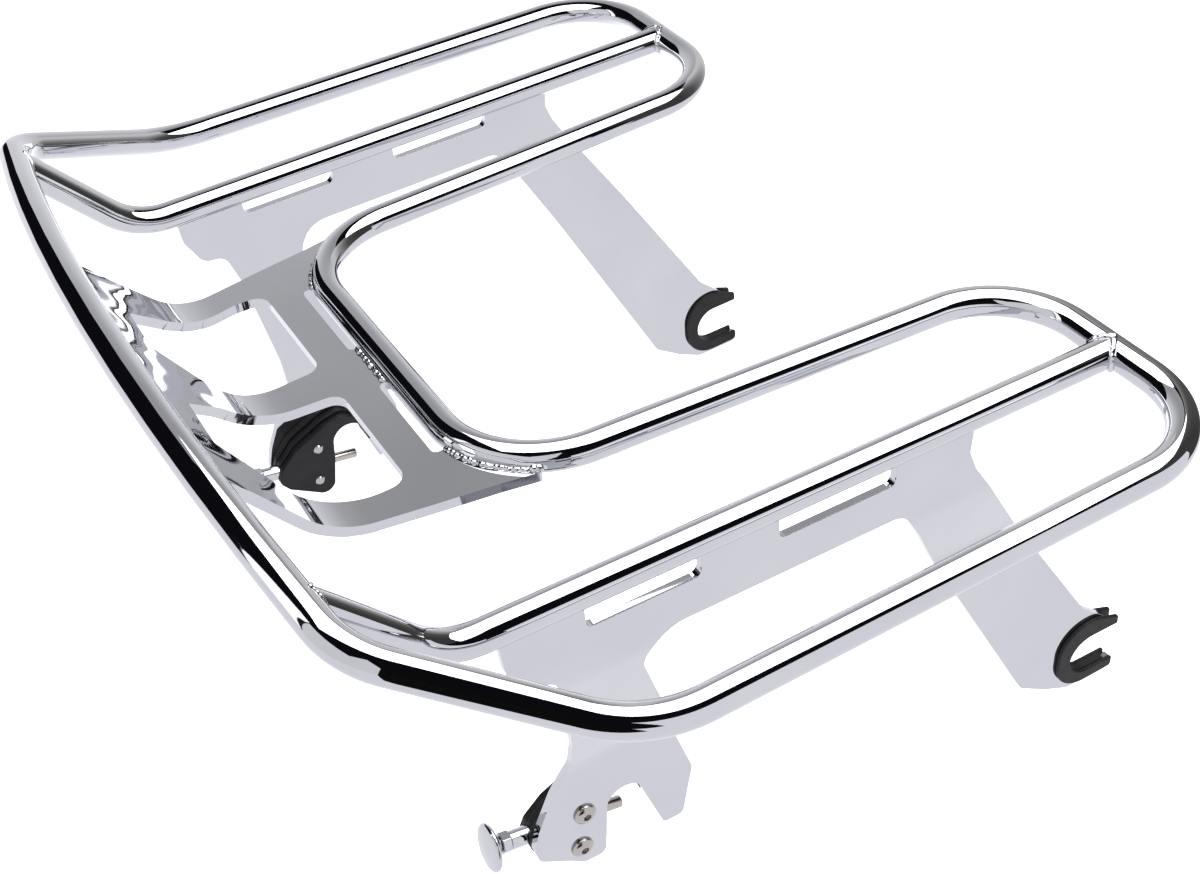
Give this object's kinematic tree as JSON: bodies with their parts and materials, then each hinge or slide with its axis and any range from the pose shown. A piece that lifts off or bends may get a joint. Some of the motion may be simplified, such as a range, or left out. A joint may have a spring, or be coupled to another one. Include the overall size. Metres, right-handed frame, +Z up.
{
  "type": "wraparound luggage rack",
  "caption": "Chromed tube luggage rack that wraps round a seat, with a bent centre sheet, slotted side plates, rubber-lined front hooks and sprung rear latches.",
  "frame": {"origin": "middle of the inner cross tube, on its centreline", "axes": "+X forward along the loops, +Y to the left, +Z up out of the plane of the tubes"},
  "size_m": [0.476, 0.5736, 0.3435],
  "materials": {
    "chrome": "polished",
    "rubber": "matte",
    "latch_plastic": "matte",
    "fastener_steel": "satin",
    "spring_steel": "satin"
  },
  "bodies": {
    "rack": {"perimeter_tube": "chrome", "left_middle_rail": "chrome", "right_middle_rail": "chrome", "centre_plate": "chrome", "left_side_plate": "chrome", "right_side_plate": "chrome", "cross_tube_welds": "chrome", "rear_bar_welds": "chrome", "rail_front_welds": "chrome", "rail_rear_welds": "chrome", "left_side_plate_welds": "chrome", "right_side_plate_welds": "chrome", "left_hook_grommet": "rubber", "right_hook_grommet": "rubber", "left_latch_body": "latch_plastic", "right_latch_body": "latch_plastic", "left_upper_latch_screw": "fastener_steel", "right_upper_latch_screw": "fastener_steel", "left_lower_latch_screw": "fastener_steel", "right_lower_latch_screw": "fastener_steel", "left_plunger_bush": "chrome", "right_plunger_bush": "chrome", "left_plunger_spring": "spring_steel", "right_plunger_spring": "spring_steel"},
    "left_plunger": {"left_plunger_pin": "fastener_steel", "left_plunger_knob": "chrome"},
    "right_plunger": {"right_plunger_pin": "fastener_steel", "right_plunger_knob": "chrome"}
  },
  "joints": [
    {"name": "left_plunger_slide", "type": "slide", "parent": "rack", "child": "left_plunger", "axis": [-0.9814, -0.0198, 0.1908], "range_m": [0, 0.0135], "stiffness_N_per_m": 800, "springref_m": -0.012, "deforming": ["left_plunger_spring"]},
    {"name": "right_plunger_slide", "type": "slide", "parent": "rack", "child": "right_plunger", "axis": [-0.9814, 0.0198, 0.1908], "range_m": [0, 0.0135], "stiffness_N_per_m": 800, "springref_m": -0.012, "deforming": ["right_plunger_spring"]}
  ]
}
